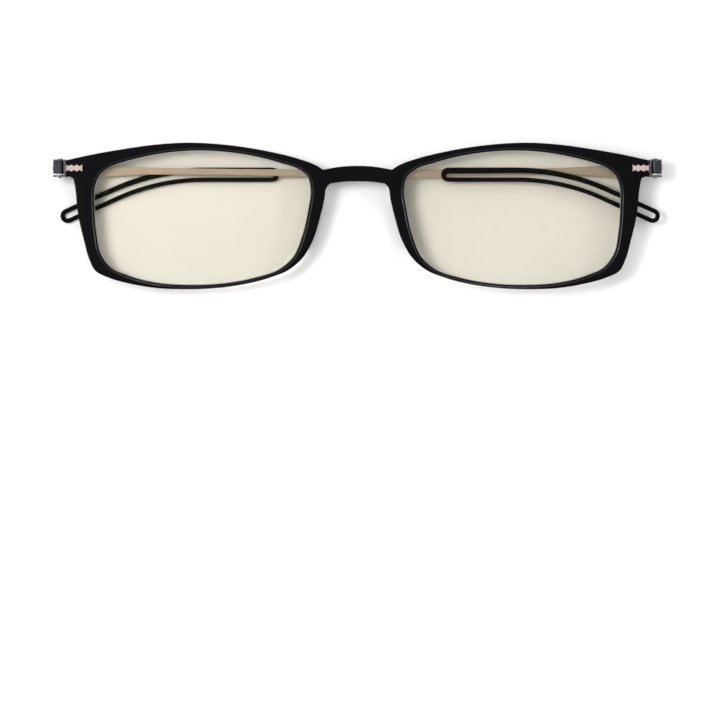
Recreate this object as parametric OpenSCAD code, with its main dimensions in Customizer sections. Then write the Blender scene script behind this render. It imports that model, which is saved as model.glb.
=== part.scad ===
// Folding reading glasses with a thin moulded front, flat metal temple arms and open-loop ear tips.
// Lying face up with both temples folded behind the front.
// +X is the wearer's left, +Y points to the brow, +Z is the way the lenses face, z = 0 is the table.
// The wearer's right temple (-X hinge) folds first and lies next to the front; the left one lies over it.

/* [Front] */
// Thickness of the moulded front
front_t = 2.2; // [2:0.1:2.6]
// Half width of a moulded nose pad
pad_r = 0.9; // [0.7:0.1:1]
// Width of the step round each lens opening, on the front face
step_w = 0.5; // [0.3:0.1:0.6]
// Depth of the step round each lens opening
step_d = 0.35; // [0.2:0.05:0.4]

/* [Lenses] */
// Radius of the lens's front surface
lens_radius = 600; // [500:50:900]
// Thickness of the lens's edge tongue
tongue_t = 0.8; // [0.6:0.1:0.9]
// Reach of the lens's edge tongue into the rim
tongue_reach = 0.45; // [0.3:0.05:0.5]
// Play between lens and rim
lens_play = 0.03; // [0.02:0.01:0.05]

/* [Hinges] */
// Distance of each hinge pin from the middle
pin_x = 70.1; // [70:0.1:70.5]
// Radius of the hinge screw's shaft
screw_r = 0.45; // [0.4:0.05:0.5]
// Radius of the hinge screw's head
head_r = 0.6; // [0.55:0.01:0.7]
// Height of the hinge screw's head
head_h = 0.3; // [0.25:0.05:0.35]
// Thickness of the washer under the knuckle
washer_t = 0.3; // [0.2:0.05:0.35]

/* [Temples] */
// Thickness of the metal arm
arm_t = 0.6; // [0.5:0.05:0.7]
// Thickness of the soft ear tip
tip_t = 1.0; // [0.9:0.05:1.1]
// Half width of the ear tip's loop
tip_half_w = 1.7; // [1.65:0.05:1.85]
// Half width of the ear tip's slot at its toe
slot_half_w = 0.64; // [0.56:0.02:0.66]
// Radius of the ear tip's downward bend
bend_r = 50; // [45:1:55]
// Angle of the ear tip's downward bend
bend_angle = 24.5; // [20:0.5:26]
// How much shorter the left arm is, as it folds last
left_trim = 1.2; // [0:0.1:2]
// Clearance between stacked layers when folded
layer_gap = 0.1; // [0.08:0.01:0.2]

/* [Hidden] */
$fn = 48;
eps = 0.01;
steps = 4;
running = 0.03;

// Heights along Y of the hinge's layers: lower ear, washer, knuckle, upper ear.
low_ear = [9.18, 9.6];
high_ear = [13.04, 13.28];
washer_y = low_ear[1] + 0.02;
knuckle_low = washer_y + washer_t + 0.06;
knuckle_high = high_ear[0] - 0.03;

// Sections of the hinge across the pin, measured from the pin: x inwards, z forwards.
knuckle_r = 0.87;
block_out = -1.5;
ear_r = 1.2;
web = [0.95, 1.4];
hinge_front = 1.05;

// The temple's own frame has its origin on the pin, +x towards the tip.
arm_drop = 2.4;
arm_end_x = -1.85;
arm_end_y = [10.9, 12.1];
tip_start = 89.8;
tip_y = 9.75;
bend_start = 107.6;
straight_end = 12.45;
bend_end = bend_start + bend_r * sin(bend_angle);
tip_reach = bend_end + (straight_end + tip_half_w) * cos(bend_angle);
slot_root = 0.21;
core_t = 0.4;
core_w = 0.5;
core_side = (tip_half_w + slot_half_w) / 2;
core_root = (tip_half_w + slot_root) / 2;
arm_tail_y = [9, 10.6];

// The two folded temples lean by this angle, one up and one down, to clear each other.
layer_pitch = (tip_t + arm_t) / 2 + layer_gap;
lean = asin(layer_pitch / (2 * pin_x));
pin_z = (arm_drop + tip_t / 2) * cos(lean) + tip_reach * sin(lean);
front_z = pin_z - arm_drop + tip_t / 2 + tip_reach * sin(lean) + layer_gap;
face_z = front_z + front_t;

// Ends of the middle line of a nose pad.
pad_head = [9.75, 2.4];
pad_foot = [12.3, -6.6];

// The hinge's anchor in its window in the end lug.
lug_end = pin_x - web[1] - 0.05;
anchor_t = 0.65;
anchor_z = face_z - 0.15 - anchor_t;
anchor_y = 11.27;
anchor_end = 64.75;
anchor_tooth = [0.5, 0.8];
anchor_teeth = 3;

// Hinge leaf and rivets on the temple arm.
leaf_t = 0.5;
leaf_len = 6.4;
leaf_half = 1;
leaf_y = 11.1;
rivet_r = 0.35;
rivet_x = [3.4, 5.8];
rivet_head = [0.6, 0.2];

// Lens heights.
lens_back = front_z + 0.3;
lens_apex = face_z - 0.1;
tongue_z = front_z + 0.55;
lens_middle = [36.5, -0.4];
dome_r = 30;

// Outlines of the front, in millimetres, on the wearer's left (+X).
bridge_top = [[-8.1, 10.9], [-4, 11.6], [0, 11.8], [4, 11.6], [8.1, 10.9]];
bridge_under = [[6.4, 7.65], [3.4, 8.05], [0, 8.15], [-3.4, 8.05], [-6.4, 7.65]];
brow = [
    [8.1, 10.9], [9.5, 11.8], [14, 13.5], [20, 15], [28, 16.4], [36, 17.15], [40, 17.25],
    [48, 16.75], [56, 15.6], [62, 14.55], [lug_end, 13.1]
];
lug_under = [[lug_end, 9.2], [67.6, 9.2], [67, 8.9], [66.75, 8.3]];
rim_under = [
    [66.6, 7.6], [65.7, 0], [64.3, -6], [63.2, -10], [61.7, -12.9], [58.5, -14.55], [53.3, -16],
    [47, -17], [40, -17.25], [33.6, -17], [26.3, -16], [20.5, -14.5], [16, -12.6], [13, -10],
    [10.6, -6], [8.7, 0], [7.75, 4], [7.15, 6.9], [6.4, 7.65]
];
eye = [
    [10.95, 6.6], [11.6, 9.2], [13.7, 11], [18, 12.5], [24, 14.05], [31, 15.1], [38, 15.4],
    [44, 15], [50, 14], [55, 12.75], [58.3, 11.55], [60.6, 9.8], [61.8, 7], [61.95, 2],
    [61.5, -4], [60.4, -9], [58.2, -12], [53.8, -14.1], [47.5, -15.7], [40, -16.25],
    [32, -15.95], [24.3, -14.6], [18.2, -12.5], [15, -9.6], [13.1, -5.3], [11.55, 1.2]
];

// Upper and lower edge of the metal arm, in the temple's own frame.
arm_top = [
    [arm_end_x, arm_end_y[1]], [0, arm_end_y[1]], [1.3, 12.2], [5, 12.4], [9, 12.3], [14, 11.8],
    [20, 11.45], [30, 11.25], [60, 10.93]
];
arm_under = [
    [arm_end_x, arm_end_y[0]], [0, 10.8], [1.3, 10.1], [3, 9.75], [5, 9.2], [8.5, 8.95],
    [13, 9.3], [20, 9.7], [30, 9.68], [60, 9.3]
];

// Slope at point i of an open list, from its neighbours and their distances.
function slope(p, i) =
    let (a = p[max(i - 1, 0)], b = p[i], c = p[min(i + 1, len(p) - 1)])
    let (before = norm(b - a), after = norm(c - b))
    before == 0 ? (c - b) / after
    : after == 0 ? (b - a) / before
    : (before * (c - b) / after + after * (b - a) / before) / (before + after);

function hermite(a, b, from, to, t) =
    let (span = norm(b - a))
    (2 * t ^ 3 - 3 * t ^ 2 + 1) * a + (t ^ 3 - 2 * t ^ 2 + t) * span * from
    + (3 * t ^ 2 - 2 * t ^ 3) * b + (t ^ 3 - t ^ 2) * span * to;

// A smooth curve through every point of p. The last point is left out, to start the next curve.
function curve(p) = [
    for (i = [0 : len(p) - 2], k = [0 : steps - 1])
        hermite(p[i], p[i + 1], slope(p, i), slope(p, i + 1), k / steps)
];

function last(p) = p[len(p) - 1];

// A smooth closed curve: the list is run on past both ends and trimmed.
function ring(p) =
    let (n = len(p), long = concat([last(p)], p, [p[0], p[1]]), all = curve(long))
    [for (i = [steps : steps * (n + 1) - 1]) all[i]];

function flip_x(p) = [for (i = [len(p) - 1 : -1 : 0]) [-p[i].x, p[i].y]];

// Moves every point of a clockwise outline outwards by d.
function grow(p, d) = [
    for (i = [0 : len(p) - 1])
        let (along = p[(i + 1) % len(p)] - p[(i + len(p) - 1) % len(p)])
        p[i] + d * [-along.y, along.x] / norm(along)
];

front_side = concat(curve(brow), [last(brow)], curve(concat(lug_under, rim_under)), [last(rim_under)]);
front_outline = concat(curve(bridge_top), front_side, curve(bridge_under), flip_x(front_side));
eye_outline = ring(eye);

// Points of an arc whose radius goes from r[0] to r[1].
function around(middle, r, from, to, n) = [
    for (k = [0 : n])
        let (a = from + (to - from) * k / n)
        middle + (r[0] + (r[1] - r[0]) * k / n) * [cos(a), sin(a)]
];

// Outline of the ear tip's loop. It keeps a distance w from the loop's middle line,
// apart from its upper side, which starts at a distance w_root.
function loop_outline(w, w_root, trim) =
    let (root = [tip_start - trim + tip_half_w, tip_y + (w_root - w) / 2], root_r = (w_root + w) / 2)
    let (bend = [bend_start - trim, tip_y - bend_r], down = [cos(bend_angle), -sin(bend_angle)])
    let (toe = bend + bend_r * [sin(bend_angle), cos(bend_angle)] + straight_end * down)
    let (before = bend_start - tip_start - tip_half_w, arc = bend_r * bend_angle * PI / 180)
    let (spread = (w - w_root) / (before + arc + straight_end), start = bend_r + w_root + spread * before)
    concat(
        around(root, [root_r, root_r], 270, 90, 14),
        around(bend, [start, start + spread * arc], 90, 90 - bend_angle, 10),
        around(toe, [w, w], 90 - bend_angle, -90 - bend_angle, 14),
        around(bend, [bend_r - w, bend_r - w], 90 - bend_angle, 90, 10)
    );

// Half outline of the serrated anchor, from the hinge inwards: a crest at each end and valleys between.
function teeth(grow_by) = [
    for (k = [0 : 8 * anchor_teeth])
        let (x = -lug_end + (lug_end - anchor_end) * k / (8 * anchor_teeth), crest = (1 + cos(45 * k)) / 2)
        [x, anchor_tooth[0] + (anchor_tooth[1] - anchor_tooth[0]) * crest + grow_by]
];

// Children are modelled at the wearer's right hinge (-X) and mirrored for the left one.
module at_hinge(left) {
    if (left) mirror([1, 0, 0]) children();
    else children();
}

// Children are modelled in the temple's own frame, then leaned into their layer.
module at_temple(left) {
    at_hinge(left) translate([-pin_x, 0, pin_z]) rotate([0, left ? lean : -lean, 0]) children();
}

// A shape in the X-Z plane, extruded along +Y from y.
module along_y(y, length) {
    translate([0, y + length, 0]) rotate([90, 0, 0]) linear_extrude(length) children();
}

module slab(z, height) {
    translate([0, 0, z]) linear_extrude(height) children();
}

module rod(y, length, r) {
    along_y(y, length) circle(r);
}

module nose_pad() {
    along = atan2(pad_head.y - pad_foot.y, pad_head.x - pad_foot.x);
    slab(0, front_z + 0.3) polygon(concat(
        around(pad_head, [pad_r, pad_r], along + 90, along - 90, 12),
        around(pad_foot, [pad_r, pad_r], along - 90, along - 270, 12)
    ));
}

module anchor_outline(grow_by) {
    upper = teeth(grow_by);
    end = last(upper).x + grow_by;
    polygon(concat(
        upper,
        [[end, last(upper).y], [end, -last(upper).y]],
        [for (i = [len(upper) - 1 : -1 : 0]) [upper[i].x, -upper[i].y]]
    ));
}

module eye_hole(left) {
    at_hinge(!left) {
        slab(front_z - 1, front_t + 2) polygon(eye_outline);
        slab(tongue_z - 0.05, tongue_t + 0.1) polygon(grow(eye_outline, tongue_reach + 0.1));
        slab(face_z - step_d, 1) polygon(grow(eye_outline, step_w));
    }
}

module front_frame() {
    color("#141116") difference() {
        union() {
            slab(front_z, front_t) polygon(front_outline);
            for (left = [false, true]) at_hinge(!left) nose_pad();
        }
        for (left = [false, true]) {
            eye_hole(left);
            at_hinge(left) translate([0, anchor_y, 0]) slab(anchor_z - 0.05, front_t) anchor_outline(0.03);
        }
    }
}

function dome(r) = lens_apex - lens_radius + sqrt(lens_radius ^ 2 - r ^ 2);

module lens(left) {
    profile = [for (k = [0 : 5]) let (r = dome_r * k / 5) [r, dome(r)]];
    color("#f1ead2", 0.45) at_hinge(!left) intersection() {
        union() {
            slab(lens_back, front_t) polygon(grow(eye_outline, -lens_play));
            slab(tongue_z, tongue_t) polygon(grow(eye_outline, tongue_reach));
        }
        translate([lens_middle.x, lens_middle.y, 0]) rotate_extrude($fn = 96)
            polygon(concat(profile, [[dome_r, 0], [0, 0]]));
    }
}

module hinge_anchor(left) {
    color("#c9a999") at_hinge(left) translate([0, anchor_y, 0]) slab(anchor_z, anchor_t) anchor_outline(0);
}

module ear(y) {
    along_y(y[0], y[1] - y[0]) difference() {
        union() {
            circle(ear_r);
            translate([block_out, 0]) square([web[1] - block_out, hinge_front]);
        }
        circle(screw_r + running / 2);
    }
}

// A C-shaped bracket: a web against the end lug and an ear above and below the knuckle.
module hinge_bracket(left) {
    bottom = front_z - pin_z + 0.02;
    color("#8d8d92") at_hinge(left) translate([-pin_x, 0, pin_z]) {
        ear(low_ear);
        ear(high_ear);
        along_y(low_ear[0], high_ear[1] - low_ear[0]) translate([web[0], bottom])
            square([web[1] - web[0], hinge_front - bottom]);
    }
}

module hinge_screw(left) {
    under = low_ear[0] - 0.3;
    slot = [2, 0.18, 0.2];
    color("#6d6f75") at_hinge(left) translate([-pin_x, 0, pin_z]) difference() {
        union() {
            rod(under, high_ear[1] - under, screw_r);
            rod(high_ear[1], head_h, head_r);
        }
        translate([-slot.x / 2, high_ear[1] + head_h - slot.y, -slot.z / 2]) cube(slot);
    }
}

module hinge_washer(left) {
    color("#e8e6df") at_hinge(left) translate([-pin_x, 0, pin_z]) along_y(washer_y, washer_t) difference() {
        circle(knuckle_r - 0.05);
        circle(screw_r + 0.05);
    }
}

// A dark block that turns on the screw, with a leaf that is riveted to the arm.
module temple_knuckle(left) {
    height = knuckle_high - knuckle_low;
    bottom = arm_t / 2 - arm_drop;
    color("#3d4048") at_temple(left) difference() {
        union() {
            rod(knuckle_low, height, knuckle_r);
            translate([block_out, knuckle_low, bottom]) cube([-block_out, height, knuckle_r - bottom]);
            translate([0, knuckle_low, bottom]) cube([knuckle_r, height, -bottom]);
            translate([0, leaf_y - leaf_half, bottom]) cube([leaf_len, 2 * leaf_half, leaf_t]);
            translate([leaf_len, leaf_y, bottom]) cylinder(h = leaf_t, r = leaf_half);
        }
        rod(knuckle_low - 1, height + 2, screw_r + running);
        rivet_holes();
    }
}

module rivet_holes() {
    for (x = rivet_x) translate([x, leaf_y, -2 * arm_drop]) cylinder(h = 2 * arm_drop, r = rivet_r + eps);
}

module temple_rivets(left) {
    outer = -arm_drop - arm_t / 2;
    inner = arm_t / 2 - arm_drop + leaf_t;
    color("#b9b2a8") at_temple(left) for (x = rivet_x) translate([x, leaf_y, 0]) {
        translate([0, 0, outer - rivet_head[1]]) cylinder(h = rivet_head[1], r = rivet_head[0]);
        translate([0, 0, outer]) cylinder(h = inner - outer, r = rivet_r);
        translate([0, 0, inner]) cylinder(h = rivet_head[1], r = rivet_head[0] - 0.1);
    }
}

// The metal inside the ear tip: a thin open loop that carries on from the arm.
module tip_core(trim) {
    slab(-arm_drop - core_t / 2, core_t) difference() {
        polygon(loop_outline(core_side + core_w / 2, core_root + core_w / 2, trim));
        polygon(loop_outline(core_side - core_w / 2, core_root - core_w / 2, trim));
    }
}

module arm_blade(trim) {
    end = tip_start - trim + tip_half_w - (core_side + core_root) / 2;
    upper = concat(arm_top, [[end, arm_tail_y[1]]]);
    under = concat(arm_under, [[end, arm_tail_y[0]]]);
    lower = concat(curve(under), [last(under)]);
    slab(-arm_drop - arm_t / 2, arm_t) polygon(concat(
        curve(upper),
        [last(upper)],
        [for (i = [len(lower) - 1 : -1 : 0]) lower[i]]
    ));
}

module temple_arm(left) {
    trim = left ? left_trim : 0;
    color("#b8a491") at_temple(left) difference() {
        union() {
            arm_blade(trim);
            tip_core(trim);
        }
        rivet_holes();
    }
}

module temple_tip(left) {
    trim = left ? left_trim : 0;
    color("#161616") at_temple(left) difference() {
        slab(-arm_drop - tip_t / 2, tip_t) difference() {
            polygon(loop_outline(tip_half_w, tip_half_w, trim));
            polygon(loop_outline(slot_half_w, slot_root, trim));
        }
        arm_blade(trim);
        tip_core(trim);
    }
}

front_frame();
lens(false);  // right_lens
lens(true);  // left_lens
hinge_anchor(false);  // right_hinge_anchor
hinge_anchor(true);  // left_hinge_anchor
hinge_bracket(false);  // right_hinge_bracket
hinge_bracket(true);  // left_hinge_bracket
hinge_screw(false);  // right_hinge_screw
hinge_screw(true);  // left_hinge_screw
hinge_washer(false);  // right_hinge_washer
hinge_washer(true);  // left_hinge_washer
temple_knuckle(false);  // right_temple_knuckle
temple_knuckle(true);  // left_temple_knuckle
temple_rivets(false);  // right_temple_rivets
temple_rivets(true);  // left_temple_rivets
temple_arm(false);  // right_temple_arm
temple_arm(true);  // left_temple_arm
temple_tip(false);  // right_temple_tip
temple_tip(true);  // left_temple_tip
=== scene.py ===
"""Looks for the folding reading glasses: they lie face up on a white table with both temples folded.

Lengths in the outlines are in millimetres in the CAD frame. Pieces are scaled to metres as they are built.
"""

import math

import bmesh
import bpy
from mathutils import Matrix, Vector
from mathutils.geometry import tessellate_polygon


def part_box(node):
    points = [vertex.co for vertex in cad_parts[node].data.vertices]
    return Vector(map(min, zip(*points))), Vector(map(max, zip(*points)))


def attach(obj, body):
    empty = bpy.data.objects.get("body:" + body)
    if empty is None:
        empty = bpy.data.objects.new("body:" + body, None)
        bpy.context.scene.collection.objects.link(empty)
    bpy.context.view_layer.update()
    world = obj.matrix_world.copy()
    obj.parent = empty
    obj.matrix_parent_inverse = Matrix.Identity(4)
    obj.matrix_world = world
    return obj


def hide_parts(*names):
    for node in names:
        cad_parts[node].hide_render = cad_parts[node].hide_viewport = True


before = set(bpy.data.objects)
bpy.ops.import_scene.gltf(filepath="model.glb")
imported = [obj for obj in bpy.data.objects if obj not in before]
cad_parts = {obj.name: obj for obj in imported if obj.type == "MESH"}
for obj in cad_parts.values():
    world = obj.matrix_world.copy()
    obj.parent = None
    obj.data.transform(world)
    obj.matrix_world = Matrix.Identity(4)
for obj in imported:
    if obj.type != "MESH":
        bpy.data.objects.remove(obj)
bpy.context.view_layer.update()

MM = 0.001
SIDES = ("right", "left")


# ---------------------------------------------------------------- places that the frame gives, in mm

def box_mm(node):
    low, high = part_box(node)
    return low / MM, high / MM


FACE_Z = box_mm("front_frame")[1].z
FRONT_T = 2.2
FRONT_Z = FACE_Z - FRONT_T
LUG_END = box_mm("front_frame")[1].x
SCREW_LOW, SCREW_HIGH = box_mm("left_hinge_screw")
PIN_X = (SCREW_LOW.x + SCREW_HIGH.x) / 2
PIN_Z = (SCREW_LOW.z + SCREW_HIGH.z) / 2
ANCHOR_LOW, ANCHOR_HIGH = box_mm("left_hinge_anchor")

# How far the arms' middle plane lies under the pin, and the lean that lets the two temples cross.
ARM_DROP = 2.4
ARM_T = 0.6
TIP_T = 1.0
LAYER_GAP = 0.1
LEAN = math.asin(((TIP_T + ARM_T) / 2 + LAYER_GAP) / (2 * PIN_X))
LEFT_TRIM = 1.2


# ---------------------------------------------------------------- outlines

STEPS = 8

BRIDGE_TOP = [(-8.1, 10.9), (-4, 11.6), (0, 11.8), (4, 11.6), (8.1, 10.9)]
BRIDGE_UNDER = [(6.4, 7.65), (3.4, 8.05), (0, 8.15), (-3.4, 8.05), (-6.4, 7.65)]
BROW = [
    (8.1, 10.9), (9.5, 11.8), (14, 13.5), (20, 15), (28, 16.4), (36, 17.15), (40, 17.25),
    (48, 16.75), (56, 15.6), (62, 14.55), (LUG_END, 13.1),
]
LUG_UNDER = [(LUG_END, 9.2), (67.6, 9.2), (67, 8.9), (66.75, 8.3)]
RIM_UNDER = [
    (66.6, 7.6), (65.7, 0), (64.3, -6), (63.2, -10), (61.7, -12.9), (58.5, -14.55), (53.3, -16),
    (47, -17), (40, -17.25), (33.6, -17), (26.3, -16), (20.5, -14.5), (16, -12.6), (13, -10),
    (10.6, -6), (8.7, 0), (7.75, 4), (7.15, 6.9), (6.4, 7.65),
]
EYE = [
    (10.95, 6.6), (11.6, 9.2), (13.7, 11), (18, 12.5), (24, 14.05), (31, 15.1), (38, 15.4),
    (44, 15), (50, 14), (55, 12.75), (58.3, 11.55), (60.6, 9.8), (61.8, 7), (61.95, 2),
    (61.5, -4), (60.4, -9), (58.2, -12), (53.8, -14.1), (47.5, -15.7), (40, -16.25),
    (32, -15.95), (24.3, -14.6), (18.2, -12.5), (15, -9.6), (13.1, -5.3), (11.55, 1.2),
]
LENS_MIDDLE = Vector((36.5, -0.4))


def slope(p, i):
    """Direction of the curve at point i, weighted by how far its neighbours are."""
    a, b, c = p[max(i - 1, 0)], p[i], p[min(i + 1, len(p) - 1)]
    before, after = (b - a).length, (c - b).length
    if before == 0:
        return (c - b) / after
    if after == 0:
        return (b - a) / before
    return (before * (c - b) / after + after * (b - a) / before) / (before + after)


def curve(points, steps=STEPS):
    """A smooth curve through the points, without the last one."""
    p = [Vector(q) for q in points]
    made = []
    for i in range(len(p) - 1):
        a, b, span = p[i], p[i + 1], (p[i + 1] - p[i]).length
        start, end = slope(p, i) * span, slope(p, i + 1) * span
        for k in range(steps):
            t = k / steps
            made.append(
                (2 * t**3 - 3 * t**2 + 1) * a + (t**3 - 2 * t**2 + t) * start
                + (3 * t**2 - 2 * t**3) * b + (t**3 - t**2) * end
            )
    return made


def ring(points, steps=STEPS):
    """A smooth closed curve through the points."""
    long = [points[-1], *points, points[0], points[1]]
    return curve(long, steps)[steps : steps * (len(points) + 1)]


def flip_x(points):
    return [Vector((-p.x, p.y)) for p in reversed(points)]


def polar(middle, radius, degrees):
    a = math.radians(degrees)
    return Vector(middle) + radius * Vector((math.cos(a), math.sin(a)))


def arc(middle, radius, start, end, count):
    """Points along an arc, both ends included, angles in degrees."""
    return [polar(middle, radius, start + (end - start) * k / count) for k in range(count + 1)]


def area(points):
    return sum(a.x * b.y - b.x * a.y for a, b in zip(points, points[1:] + points[:1])) / 2


def anticlockwise(points):
    return points if area(points) > 0 else points[::-1]


def shrink(points, d, share=None):
    """Moves an anticlockwise outline inwards by d, or by a share of it that depends on the point."""
    moved = []
    for i, p in enumerate(points):
        along = (points[(i + 1) % len(points)] - points[i - 1]).normalized()
        moved.append(p + d * (share(p) if share else 1) * Vector((-along.y, along.x)))
    return moved


def front_outline():
    """The front's outline: along the bridge's top, round the left side, and back along the right one."""
    side = curve(BROW) + [Vector(BROW[-1])] + curve(LUG_UNDER + RIM_UNDER) + [Vector(RIM_UNDER[-1])]
    return curve(BRIDGE_TOP) + side + curve(BRIDGE_UNDER) + flip_x(side)


# ---------------------------------------------------------------- meshes

NO_AREA = 1e-12
SHARP_ANGLE = math.radians(40)


def round_edges(low, high, r_low, r_high, count=4):
    """Levels (inset, height) of a plate from its lower face to its upper one, with rounded edges."""
    quarter = [math.radians(90 * k / count) for k in range(count + 1)]
    under = [(r_low * (1 - math.sin(a)), low + r_low * (1 - math.cos(a))) for a in quarter]
    over = [(r_high * (1 - math.cos(a)), high - r_high * (1 - math.sin(a))) for a in quarter]
    return under + over


def wall(bm, outline, levels, outward, share=None, shiny=()):
    """Bands of faces up the levels of an outline. A positive inset goes into the material."""
    solid = anticlockwise(outline)
    rings = []
    for inset, height in levels:
        shape = shrink(solid, inset if outward else -inset, share)
        rings.append([bm.verts.new((p.x, p.y, height)) for p in shape])
    for number, (low, high) in enumerate(zip(rings, rings[1:])):
        for i in range(len(low)):
            j = (i + 1) % len(low)
            quad = (low[i], low[j], high[j], high[i])
            face = bm.faces.new(quad if outward else quad[::-1])
            face.material_index = 1 if number in shiny else 0
    return rings[0], rings[-1]


def cap(bm, loops, up):
    """A flat face between loops of vertices, the first of them its outline and the others its holes."""
    verts = [v for loop in loops for v in loop]
    for tri in tessellate_polygon([[v.co for v in loop] for loop in loops]):
        corners = [verts[i] for i in tri]
        normal = (corners[1].co - corners[0].co).cross(corners[2].co - corners[0].co)
        if normal.length < NO_AREA:
            continue
        if (normal.z > 0) != up:
            corners.reverse()
        if bm.faces.get(corners) is None:
            bm.faces.new(corners)


def plate(bm, outer, levels, holes=(), pockets=(), share=None, shiny=()):
    """A plate with an outline, through holes as (outline, levels) and pockets sunk from its upper face."""
    low, high = wall(bm, outer, levels, True, share)
    lows, highs = [low], [high]
    for outline, hole_levels in holes:
        low, high = wall(bm, outline, hole_levels, False, None, shiny)
        lows.append(low)
        highs.append(high)
    for outline, pocket_levels in pockets:
        low, high = wall(bm, outline, pocket_levels, False)
        cap(bm, [low], True)
        highs.append(high)
    cap(bm, lows, False)
    cap(bm, highs, True)


def piece(name, body, slot, material, build, place=None, node=None, mirrored=False, materials=()):
    """Builds one mesh in millimetres, places it and makes it ride on its body."""
    bm = bmesh.new()
    build(bm)
    matrix = place or Matrix.Identity(4)
    if mirrored:
        matrix = Matrix.Diagonal((-1, 1, 1, 1)) @ matrix
    bmesh.ops.transform(bm, matrix=Matrix.Scale(MM, 4) @ matrix, verts=bm.verts)
    if mirrored:
        bmesh.ops.reverse_faces(bm, faces=bm.faces)
    mesh = bpy.data.meshes.new(name)
    bm.to_mesh(mesh)
    bm.free()
    mesh.shade_smooth()
    mesh.set_sharp_from_angle(angle=SHARP_ANGLE)
    obj = bpy.data.objects.new(name, mesh)
    bpy.context.scene.collection.objects.link(obj)
    for m in (material, *materials):
        mesh.materials.append(m)
    even = obj.modifiers.new("even_shading", "WEIGHTED_NORMAL")
    even.keep_sharp = True
    even.weight = 100
    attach(obj, body)
    if node:
        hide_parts(node)
    return obj


# ---------------------------------------------------------------- materials

def new_material(name):
    m = bpy.data.materials.new(name)
    m.use_nodes = True
    nodes, links = m.node_tree.nodes, m.node_tree.links
    return m, nodes, links, nodes["Principled BSDF"]


def noise(nodes, links, scale, detail=2.0, stretch=(1, 1, 1)):
    """A noise texture in the object's own coordinates, in metres times scale."""
    coords = nodes.new("ShaderNodeTexCoord")
    mapping = nodes.new("ShaderNodeMapping")
    mapping.inputs["Scale"].default_value = stretch
    texture = nodes.new("ShaderNodeTexNoise")
    texture.inputs["Scale"].default_value = scale
    texture.inputs["Detail"].default_value = detail
    links.new(coords.outputs["Object"], mapping.inputs["Vector"])
    links.new(mapping.outputs["Vector"], texture.inputs["Vector"])
    return texture


def ramp(nodes, links, factor, stops):
    """A colour ramp with its stops as (position, colour)."""
    node = nodes.new("ShaderNodeValToRGB")
    elements = node.color_ramp.elements
    while len(elements) < len(stops):
        elements.new(0.5)
    for element, (position, colour) in zip(elements, stops):
        element.position = position
        element.color = (*colour, 1)
    links.new(factor, node.inputs["Fac"])
    return node


def two_tone(nodes, links, shader, factor, dark, light, span=(0.3, 0.7)):
    """Base colour that wanders between two tones."""
    colour = ramp(nodes, links, factor, [(span[0], dark), (span[1], light)])
    links.new(colour.outputs["Color"], shader.inputs["Base Color"])


def spread(nodes, links, factor, low, high):
    """A factor from 0 to 1 stretched to a range."""
    node = nodes.new("ShaderNodeMapRange")
    node.inputs["To Min"].default_value = low
    node.inputs["To Max"].default_value = high
    links.new(factor, node.inputs["Value"])
    return node.outputs["Result"]


def bump(nodes, links, height, strength, distance, shader):
    node = nodes.new("ShaderNodeBump")
    node.inputs["Strength"].default_value = strength
    node.inputs["Distance"].default_value = distance
    links.new(height, node.inputs["Height"])
    links.new(node.outputs["Normal"], shader.inputs["Normal"])


def moulded_plastic():
    """Satin black with a fine moulded grain."""
    m, nodes, links, shader = new_material("front_plastic")
    grain = noise(nodes, links, 4200, 3)
    cloud = noise(nodes, links, 160, 2)
    two_tone(nodes, links, shader, cloud.outputs["Fac"], (0.0016, 0.0012, 0.0020), (0.0026, 0.0020, 0.0032))
    links.new(spread(nodes, links, grain.outputs["Fac"], 0.34, 0.50), shader.inputs["Roughness"])
    bump(nodes, links, grain.outputs["Fac"], 0.25, 0.00004, shader)
    shader.inputs["Specular IOR Level"].default_value = 0.045
    return m


def polished_plastic():
    """The polished edge of the step round each lens opening."""
    m, nodes, links, shader = new_material("front_polish")
    wave = noise(nodes, links, 900, 2)
    two_tone(nodes, links, shader, wave.outputs["Fac"], (0.004, 0.0035, 0.0045), (0.006, 0.0052, 0.0065))
    links.new(spread(nodes, links, wave.outputs["Fac"], 0.18, 0.28), shader.inputs["Roughness"])
    shader.inputs["Specular IOR Level"].default_value = 0.5
    return m


def soft_rubber():
    """Soft matt black."""
    m, nodes, links, shader = new_material("tip_rubber")
    grain = noise(nodes, links, 6000, 2)
    two_tone(nodes, links, shader, grain.outputs["Fac"], (0.0015, 0.0013, 0.0012), (0.0022, 0.0020, 0.0018))
    links.new(spread(nodes, links, grain.outputs["Fac"], 0.48, 0.62), shader.inputs["Roughness"])
    bump(nodes, links, grain.outputs["Fac"], 0.04, 0.00002, shader)
    shader.inputs["Specular IOR Level"].default_value = 0.04
    return m


def brushed(name, dark, light, rough, stretch, scale=900, strength=0.12):
    """Metal with fine lines along one axis."""
    m, nodes, links, shader = new_material(name)
    lines = noise(nodes, links, scale, 4, stretch)
    cloud = noise(nodes, links, 260, 2)
    two_tone(nodes, links, shader, cloud.outputs["Fac"], dark, light)
    links.new(spread(nodes, links, lines.outputs["Fac"], *rough), shader.inputs["Roughness"])
    bump(nodes, links, lines.outputs["Fac"], strength, 0.00002, shader)
    shader.inputs["Metallic"].default_value = 1
    return m


def nylon():
    """Natural nylon."""
    m, nodes, links, shader = new_material("washer_nylon")
    cloud = noise(nodes, links, 700, 2)
    two_tone(nodes, links, shader, cloud.outputs["Fac"], (0.70, 0.68, 0.64), (0.78, 0.76, 0.72))
    links.new(spread(nodes, links, cloud.outputs["Fac"], 0.38, 0.48), shader.inputs["Roughness"])
    return m


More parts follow.
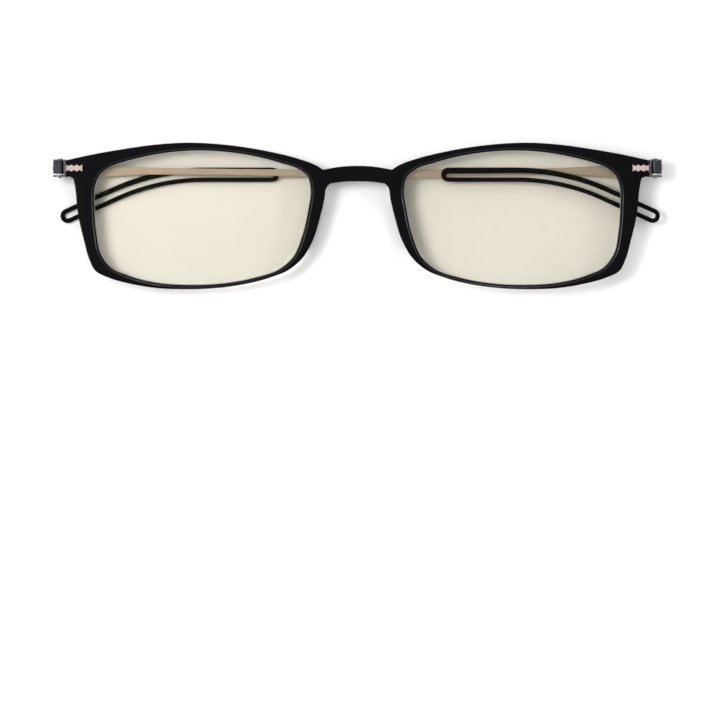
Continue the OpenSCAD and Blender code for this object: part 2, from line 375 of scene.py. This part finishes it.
def lens_plastic():
    """Clear plastic with a pale warm tint. Its low specular tint stands in for an anti-reflection coating."""
    m, nodes, links, shader = new_material("lens")
    film = noise(nodes, links, 40, 1)
    tint = (0.628, 0.605, 0.541), (0.641, 0.617, 0.553)
    two_tone(nodes, links, shader, film.outputs["Fac"], *tint, span=(0.35, 0.65))
    links.new(spread(nodes, links, film.outputs["Fac"], 0.0, 0.012), shader.inputs["Roughness"])
    shader.inputs["Transmission Weight"].default_value = 1
    shader.inputs["IOR"].default_value = 1.5
    shader.inputs["Specular Tint"].default_value = (0.075, 0.078, 0.068, 1)
    return m


def lens_edge():
    """The ground bevel round a lens."""
    m, nodes, links, shader = new_material("lens_edge")
    grain = noise(nodes, links, 5000, 2)
    two_tone(nodes, links, shader, grain.outputs["Fac"], (0.52, 0.51, 0.48), (0.60, 0.59, 0.56))
    links.new(spread(nodes, links, grain.outputs["Fac"], 0.25, 0.4), shader.inputs["Roughness"])
    return m


PLASTIC = moulded_plastic()
POLISH = polished_plastic()
RUBBER = soft_rubber()
ARM_METAL = brushed(
    "arm_metal", (0.60, 0.505, 0.43), (0.68, 0.575, 0.49),
    (0.26, 0.40), (1, 40, 40),
)
ANCHOR_METAL = brushed(
    "anchor_metal", (0.54, 0.42, 0.385), (0.63, 0.50, 0.465),
    (0.18, 0.26), (1, 20, 20),
)
KNUCKLE_METAL = brushed(
    "knuckle_metal", (0.034, 0.037, 0.044), (0.046, 0.050, 0.060),
    (0.34, 0.48), (1, 20, 20),
)
BRACKET_METAL = brushed(
    "bracket_metal", (0.085, 0.078, 0.083), (0.130, 0.120, 0.125),
    (0.28, 0.40), (20, 1, 20),
)
SCREW_METAL = brushed(
    "screw_metal", (0.20, 0.20, 0.21), (0.30, 0.30, 0.31),
    (0.20, 0.32), (20, 1, 20),
)
NYLON = nylon()
LENS = lens_plastic()
LENS_EDGE = lens_edge()


# ---------------------------------------------------------------- the front

EYE_OUTLINE = ring(EYE)
GROOVE_LOW = FRONT_Z + 0.5
GROOVE_HIGH = GROOVE_LOW + 0.9
GROOVE_DEPTH = 0.55
BACK_EDGE = 0.2
FRONT_ROUND_LOW, FRONT_ROUND_HIGH = 0.45, 0.35
WINDOW_PLAY = 0.05


def eye_levels():
    """The wall of a lens opening: rounded back edge, groove, ledge and polished chamfer on the front."""
    back = [(BACK_EDGE, FRONT_Z), (0.3 * BACK_EDGE, FRONT_Z + 0.3 * BACK_EDGE), (0, FRONT_Z + BACK_EDGE)]
    groove = [(0, GROOVE_LOW), (GROOVE_DEPTH, GROOVE_LOW), (GROOVE_DEPTH, GROOVE_HIGH), (0, GROOVE_HIGH)]
    ledge = [(0, FACE_Z - 0.45), (0.03, FACE_Z - 0.40), (0.28, FACE_Z - 0.38), (0.32, FACE_Z - 0.34)]
    chamfer = [(0.34, FACE_Z - 0.14), (0.36, FACE_Z - 0.11), (0.56, FACE_Z - 0.02), (0.62, FACE_Z)]
    return back + groove + ledge + chamfer


# The bands of eye_levels that make the chamfer, counted from the back.
CHAMFER_BANDS = (11, 12)

# The serrated anchor: half height in its valleys and on its crests, spaces between crests, inner end.
VALLEY_Y, CREST_Y, TEETH, ANCHOR_END = 0.5, 0.8, 3, 64.75
TOOTH_POINTS = 8
ANCHOR_Y = (ANCHOR_LOW.y + ANCHOR_HIGH.y) / 2


def anchor_outline(grow):
    """The serrated strip in its window, on the left side: a crest at each end and valleys between."""
    start = LUG_END - 0.1
    half = []
    for k in range(TOOTH_POINTS * TEETH + 1):
        x = LUG_END - (LUG_END - ANCHOR_END) * k / (TOOTH_POINTS * TEETH)
        crest = (1 + math.cos(2 * math.pi * k / TOOTH_POINTS)) / 2
        half.append(Vector((min(x, start), VALLEY_Y + (CREST_Y - VALLEY_Y) * crest + grow)))
    half.append(Vector((ANCHOR_END - grow, half[-1].y)))
    shape = half + [Vector((p.x, -p.y)) for p in reversed(half)]
    return [p + Vector((0, ANCHOR_Y)) for p in shape]


def away_from_lug(p):
    """The front's outer edge is rounded less and less towards the flat end of each lug."""
    return min(1, 0.12 + (LUG_END - abs(p.x)) / 0.9)


def build_front(bm):
    """The moulded front with its two lens openings and a window for the anchor in each lug."""
    left_eye = anticlockwise(EYE_OUTLINE)
    right_eye = anticlockwise(flip_x(EYE_OUTLINE))
    window = anticlockwise(anchor_outline(WINDOW_PLAY))
    window_levels = [(0, ANCHOR_LOW.z - 0.02), (0, FACE_Z - 0.04), (0.03, FACE_Z)]
    windows = [(w, window_levels) for w in (window, anticlockwise(flip_x(window)))]
    plate(
        bm, anticlockwise(front_outline()),
        round_edges(FRONT_Z, FACE_Z, FRONT_ROUND_LOW, FRONT_ROUND_HIGH, 5),
        holes=[(left_eye, eye_levels()), (right_eye, eye_levels())], pockets=windows,
        share=away_from_lug, shiny=CHAMFER_BANDS,
    )


piece("front_moulding", "front", "front_plastic", PLASTIC, build_front, node="front_frame",
      materials=[POLISH])

PAD_HEAD, PAD_FOOT = Vector((9.75, 2.4)), Vector((12.3, -6.6))
PAD_R = 0.9
PAD_ROUND = 0.6


def build_pad(bm):
    """A moulded nose pad: a rounded fin that flares into the rim."""
    line = PAD_HEAD - PAD_FOOT
    along = math.degrees(math.atan2(line.y, line.x))
    head = arc(PAD_HEAD, PAD_R, along + 90, along - 90, 16)
    foot = arc(PAD_FOOT, PAD_R, along - 90, along - 270, 16)
    turn = [math.radians(15 * k) for k in range(1, 7)]
    tip = [(PAD_R * (1 - math.sin(a)), PAD_ROUND * (1 - math.cos(a))) for a in turn]
    flare = [(0, -0.5), (-0.03, -0.25), (-0.12, -0.08), (-0.3, 0.02), (-0.3, 0.2)]
    plate(bm, head + foot, tip + [(inset, FRONT_Z + height) for inset, height in flare])


for side in SIDES:
    piece(f"{side}_nose_pad", "front", "front_plastic", PLASTIC, build_pad, mirrored=side == "right")


# ---------------------------------------------------------------- lenses

LENS_RADIUS, BACK_RADIUS = 600, 1000
LENS_APEX = FACE_Z - 0.1
LENS_BACK_APEX = FRONT_Z + 0.62
LENS_PLAY, TONGUE_PLAY = 0.03, 0.05
TONGUE_REACH = 0.42
EDGE_W = 0.13
SHOULDER_DROP = 0.14


def dome(p, apex, radius):
    """Height of a lens surface over the point p."""
    return apex - radius + math.sqrt(radius**2 - (p - LENS_MIDDLE).length_squared)


def build_lens(bm):
    """A thin lens with a curved front and back, and a ground bevel next to the rim."""
    outline = anticlockwise(EYE_OUTLINE)
    shares = [0.12, 0.25, 0.4, 0.55, 0.7, 0.82, 0.92]
    inner = shrink(outline, LENS_PLAY + EDGE_W)
    edge = shrink(outline, LENS_PLAY)
    tongue = shrink(outline, -TONGUE_REACH)

    def surface(apex, radius, up):
        rings = [[bm.verts.new((LENS_MIDDLE.x, LENS_MIDDLE.y, apex))]]
        for share in [*shares, 1]:
            points = [LENS_MIDDLE + (p - LENS_MIDDLE) * share for p in inner]
            rings.append([bm.verts.new((p.x, p.y, dome(p, apex, radius))) for p in points])
        for low, high in zip(rings, rings[1:]):
            for i in range(len(high)):
                j = (i + 1) % len(high)
                corners = list(dict.fromkeys([low[i % len(low)], high[i], high[j], low[j % len(low)]]))
                bm.faces.new(corners if up else corners[::-1])
        return rings[-1]

    front = surface(LENS_APEX, LENS_RADIUS, True)
    back = surface(LENS_BACK_APEX, BACK_RADIUS, False)
    heights = [GROOVE_HIGH - TONGUE_PLAY, GROOVE_LOW + TONGUE_PLAY]
    shoulder = [bm.verts.new((p.x, p.y, dome(p, LENS_APEX, LENS_RADIUS) - SHOULDER_DROP)) for p in edge]
    upper = [bm.verts.new((p.x, p.y, heights[0])) for p in edge]
    bands = [back, [bm.verts.new((p.x, p.y, heights[1])) for p in edge]]
    bands += [[bm.verts.new((p.x, p.y, z)) for p in tongue] for z in reversed(heights)]
    bands += [upper, shoulder, front]
    for low, high in zip(bands, bands[1:]):
        for i in range(len(low)):
            j = (i + 1) % len(low)
            face = bm.faces.new((low[i], low[j], high[j], high[i]))
            face.material_index = 1


for side in SIDES:
    lens = piece(f"{side}_lens_blank", "front", "lens", LENS, build_lens, node=f"{side}_lens",
                 mirrored=side == "right", materials=[LENS_EDGE])
    lens.visible_shadow = False


# ---------------------------------------------------------------- temples

# Outlines along a temple, from its pin towards its tip.
ARM_TOP = [
    (-1.85, 12.1), (0, 12.1), (1.3, 12.2), (5, 12.4), (9, 12.3), (14, 11.8), (20, 11.45), (30, 11.25),
    (60, 10.93),
]
ARM_UNDER = [
    (-1.85, 10.9), (0, 10.8), (1.3, 10.1), (3, 9.75), (5, 9.2), (8.5, 8.95), (13, 9.3), (20, 9.7),
    (30, 9.68), (60, 9.3),
]
ARM_TAIL_Y = (9, 10.6)
TIP_START, TIP_Y, TIP_HALF_W = 89.8, 9.75, 1.7
SLOT_HALF_W, SLOT_ROOT = 0.64, 0.21
BEND_START, BEND_R, BEND_ANGLE, STRAIGHT_END = 107.6, 50, 24.5, 12.45
BEND_POINTS = 28

# The metal core inside the tip runs along the middle of the loop's material.
CORE_SIDE = (TIP_HALF_W + SLOT_HALF_W) / 2
CORE_ROOT = (TIP_HALF_W + SLOT_ROOT) / 2
CORE_HALF_W, CORE_HALF_T = 0.25, 0.2
ARM_ROUND, CORE_ROUND, TIP_ROUND = 0.12, 0.08, 0.32


def temple_place(side):
    """From the temple's own frame, with its origin on the pin and +x towards the tip, to the right side."""
    turn = -LEAN if side == "right" else LEAN
    return Matrix.Translation((-PIN_X, 0, PIN_Z)) @ Matrix.Rotation(turn, 4, "Y")


def loop_outline(w, w_root, trim):
    """Outline of the ear tip's loop, w from its middle line. Its upper side starts at w_root from it."""
    root = Vector((TIP_START - trim + TIP_HALF_W, TIP_Y + (w_root - w) / 2))
    bend = Vector((BEND_START - trim, TIP_Y - BEND_R))
    a = math.radians(BEND_ANGLE)
    straight = STRAIGHT_END * Vector((math.cos(a), -math.sin(a)))
    toe = bend + BEND_R * Vector((math.sin(a), math.cos(a))) + straight
    before, along = BEND_START - TIP_START - TIP_HALF_W, BEND_R * a
    widen = (w - w_root) / (before + along + STRAIGHT_END)
    upper = []
    for k in range(BEND_POINTS + 1):
        radius = BEND_R + w_root + widen * (before + along * k / BEND_POINTS)
        upper.append(polar(bend, radius, 90 - BEND_ANGLE * k / BEND_POINTS))
    root_end = arc(root, (w + w_root) / 2, 270, 90, 20)
    toe_end = arc(toe, w, 90 - BEND_ANGLE, -90 - BEND_ANGLE, 20)
    return root_end + upper + toe_end + arc(bend, BEND_R - w, 90 - BEND_ANGLE, 90, BEND_POINTS)


def loop_with_slot(bm, outer, slot, levels, trim):
    """A loop between two outlines, each given as its half widths at the toe and at the root."""
    slot_hole = (anticlockwise(loop_outline(*slot, trim)), levels)
    plate(bm, anticlockwise(loop_outline(*outer, trim)), levels, holes=[slot_hole])


def build_arm(trim):
    """The flat arm, and its core in the ear tip."""
    def build(bm):
        end = TIP_START - trim + TIP_HALF_W - (CORE_SIDE + CORE_ROOT) / 2
        top = curve(ARM_TOP + [(end, ARM_TAIL_Y[1])]) + [Vector((end, ARM_TAIL_Y[1]))]
        under = curve(ARM_UNDER + [(end, ARM_TAIL_Y[0])]) + [Vector((end, ARM_TAIL_Y[0]))]
        levels = round_edges(-ARM_DROP - ARM_T / 2, -ARM_DROP + ARM_T / 2, ARM_ROUND, ARM_ROUND, 3)
        plate(bm, anticlockwise(top + under[::-1]), levels)
        core = round_edges(-ARM_DROP - CORE_HALF_T, -ARM_DROP + CORE_HALF_T, CORE_ROUND, CORE_ROUND, 1)
        outer = (CORE_SIDE + CORE_HALF_W, CORE_ROOT + CORE_HALF_W)
        inner = (CORE_SIDE - CORE_HALF_W, CORE_ROOT - CORE_HALF_W)
        loop_with_slot(bm, outer, inner, core, trim)
    return build


def build_tip(trim):
    """The soft loop over the core."""
    def build(bm):
        levels = round_edges(-ARM_DROP - TIP_T / 2, -ARM_DROP + TIP_T / 2, TIP_ROUND, TIP_ROUND, 5)
        loop_with_slot(bm, (TIP_HALF_W, TIP_HALF_W), (SLOT_HALF_W, SLOT_ROOT), levels, trim)
    return build


for side in SIDES:
    trim = LEFT_TRIM if side == "left" else 0
    where = {"place": temple_place(side), "mirrored": side == "left"}
    body = f"{side}_temple"
    piece(f"{side}_arm_strip", body, "arm_metal", ARM_METAL, build_arm(trim),
          node=f"{side}_temple_arm", **where)
    piece(f"{side}_tip_loop", body, "tip_rubber", RUBBER, build_tip(trim),
          node=f"{side}_temple_tip", **where)


# ---------------------------------------------------------------- hinges

def soften(node, material, width):
    """Gives a CAD node its material and small rounded edges."""
    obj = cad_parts[node]
    obj.data.materials.clear()
    obj.data.materials.append(material)
    weld = obj.modifiers.new("weld", "WELD")
    weld.merge_threshold = 0.001 * MM
    edge = obj.modifiers.new("edges", "BEVEL")
    edge.width = width * MM
    edge.segments = 3
    edge.limit_method = "ANGLE"
    edge.angle_limit = math.radians(35)


for side in SIDES:
    soften(f"{side}_hinge_anchor", ANCHOR_METAL, 0.05)
    soften(f"{side}_hinge_bracket", BRACKET_METAL, 0.06)
    soften(f"{side}_hinge_screw", SCREW_METAL, 0.05)
    soften(f"{side}_hinge_washer", NYLON, 0.05)
    soften(f"{side}_temple_knuckle", KNUCKLE_METAL, 0.1)
    soften(f"{side}_temple_rivets", SCREW_METAL, 0.08)


# ---------------------------------------------------------------- table, light and camera

TABLE_HALF = 1.5


def build_floor():
    """A plain white table top."""
    m, nodes, links, shader = new_material("table")
    paper = noise(nodes, links, 30, 2)
    two_tone(nodes, links, shader, paper.outputs["Fac"], (0.93, 0.93, 0.93), (0.95, 0.95, 0.95))
    shader.inputs["Roughness"].default_value = 0.9
    shader.inputs["Specular IOR Level"].default_value = 0.1
    mesh = bpy.data.meshes.new("table")
    corners = [(-TABLE_HALF, -TABLE_HALF, 0), (TABLE_HALF, -TABLE_HALF, 0),
               (TABLE_HALF, TABLE_HALF, 0), (-TABLE_HALF, TABLE_HALF, 0)]
    mesh.from_pydata(corners, [], [(0, 1, 2, 3)])
    mesh.materials.append(m)
    obj = bpy.data.objects.new("table", mesh)
    bpy.context.scene.collection.objects.link(obj)


def build_world(zenith, horizon):
    """Soft studio surroundings: bright overhead and in a strip at the horizon, darker between them."""
    world = bpy.data.worlds.new("studio")
    world.use_nodes = True
    bpy.context.scene.world = world
    nodes, links = world.node_tree.nodes, world.node_tree.links
    coords = nodes.new("ShaderNodeTexCoord")
    split = nodes.new("ShaderNodeSeparateXYZ")
    links.new(coords.outputs["Generated"], split.inputs["Vector"])
    shade = ramp(nodes, links, split.outputs["Z"], [
        (0.0, (zenith,) * 3), (0.08, (zenith,) * 3), (0.2, (horizon,) * 3),
        (0.55, (horizon,) * 3), (0.85, (zenith,) * 3),
    ])
    links.new(shade.outputs["Color"], nodes["Background"].inputs["Color"])


def area_light(name, location, size, power):
    """A round lamp that shines on the middle of the table."""
    data = bpy.data.lights.new(name, "AREA")
    data.shape = "DISK"
    data.size = size
    data.energy = power
    obj = bpy.data.objects.new(name, data)
    obj.location = location
    obj.rotation_euler = (-Vector(location)).to_track_quat("-Z", "Y").to_euler()
    bpy.context.scene.collection.objects.link(obj)


build_floor()
build_world(1.0, 0.55)
area_light("key", (-0.34, 0.10, 0.50), 0.24, 1.85)
area_light("glint_right", (0.80, 0.15, 0.56), 0.12, 1.0)
area_light("glint_top", (0.1, 0.80, 0.56), 0.12, 0.9)

# The camera looks straight down. The glasses fill the width and sit in the upper half of the frame.
CAMERA_HEIGHT = 2
SENSOR_W = 36
FRAME_W = 169.4 * MM
LOOK_AT = Vector((0.6, -33.9, 0)) * MM
camera_data = bpy.data.cameras.new("camera")
camera_data.sensor_width = SENSOR_W
camera_data.lens = SENSOR_W * (CAMERA_HEIGHT - FACE_Z * MM) / FRAME_W
camera = bpy.data.objects.new("camera", camera_data)
camera.location = LOOK_AT + Vector((0, 0, CAMERA_HEIGHT))
bpy.context.scene.collection.objects.link(camera)
bpy.context.scene.camera = camera
bpy.context.scene.view_settings.view_transform = "Standard"
